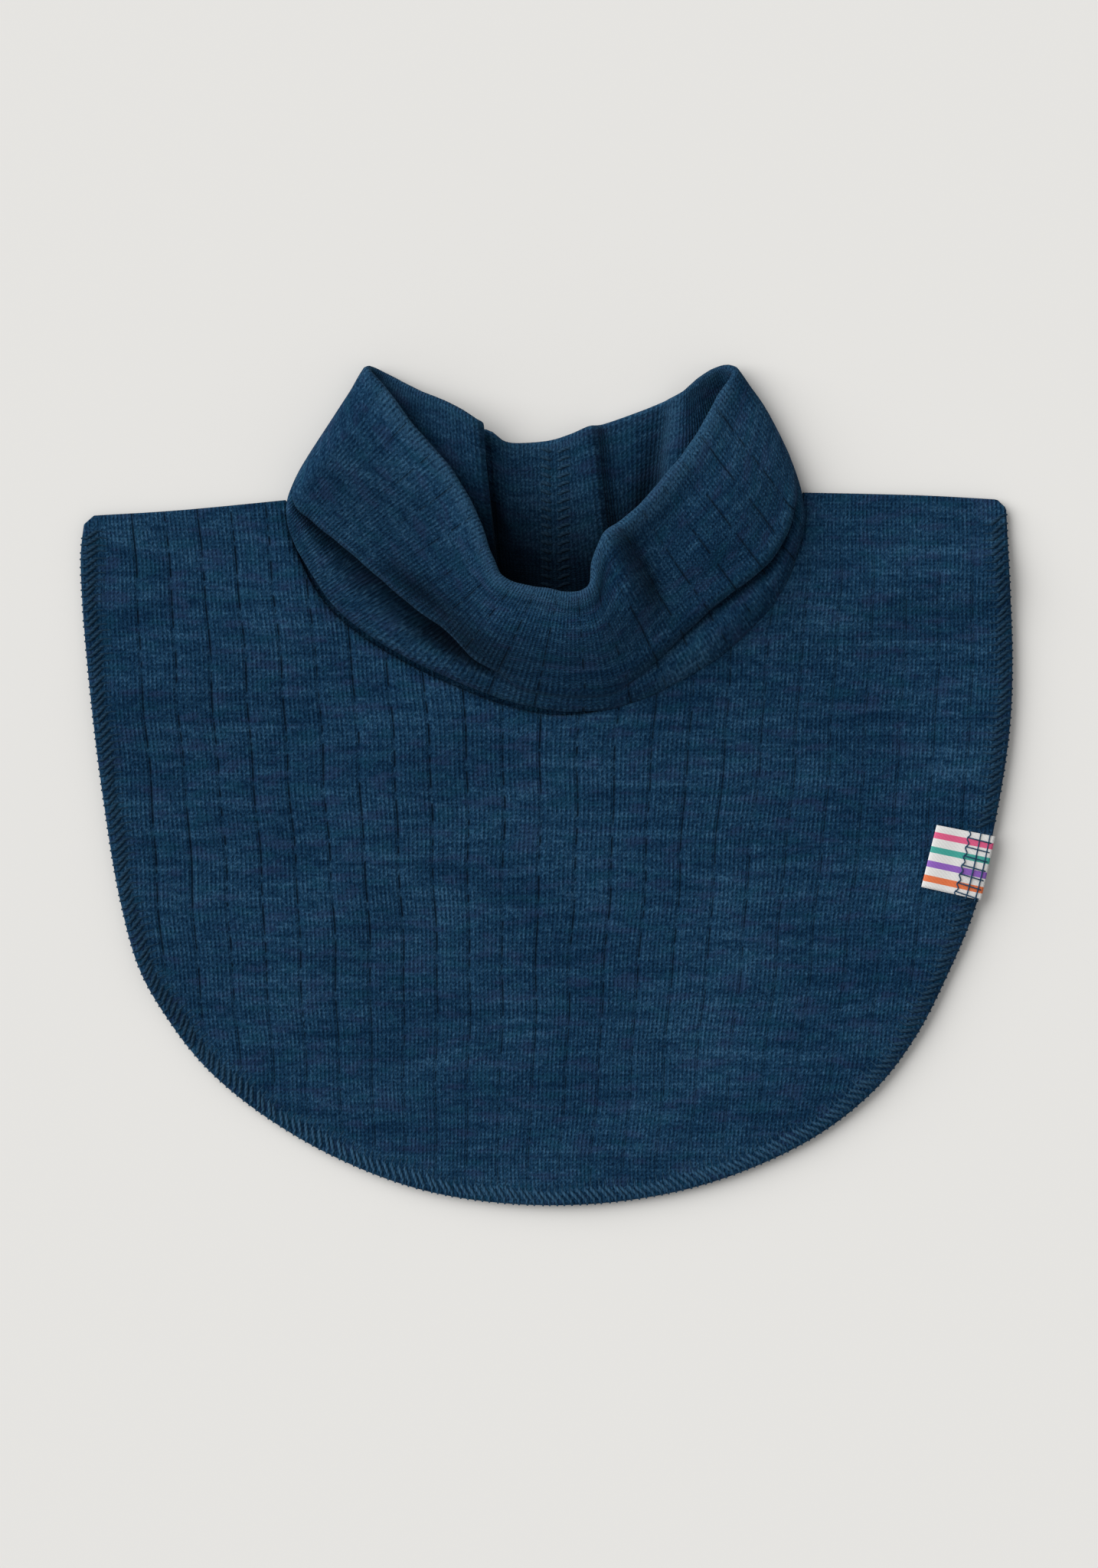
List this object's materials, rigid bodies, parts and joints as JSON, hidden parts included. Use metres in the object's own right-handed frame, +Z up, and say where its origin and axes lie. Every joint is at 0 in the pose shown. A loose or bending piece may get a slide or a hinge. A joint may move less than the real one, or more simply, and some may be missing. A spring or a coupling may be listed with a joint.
{
  "type": "knitted dickey",
  "caption": "Child's knitted dickey: rounded bib front and back, standing folded roll-neck collar and a small hem label, lying flat face up.",
  "frame": {"origin": "on the surface it lies on, under the middle of its outline", "axes": "+Z up off the surface and out of the front of the bib, +Y from the bib towards the neck opening, +X to the right as seen from the front"},
  "size_m": [0.25, 0.2242, 0.0247],
  "materials": {
    "wool_rib": "heather blue wool knitted in a fine drop-needle rib, matt with a soft halo",
    "overlock_thread": "matt blue polyester overlock thread along the hem and seams",
    "label_tape": "satin woven white tape with plain coloured bands"
  },
  "bodies": {
    "root": {"front_panel": "wool_rib", "back_panel": "wool_rib", "collar": "wool_rib", "label": "label_tape"}
  },
  "joints": []
}
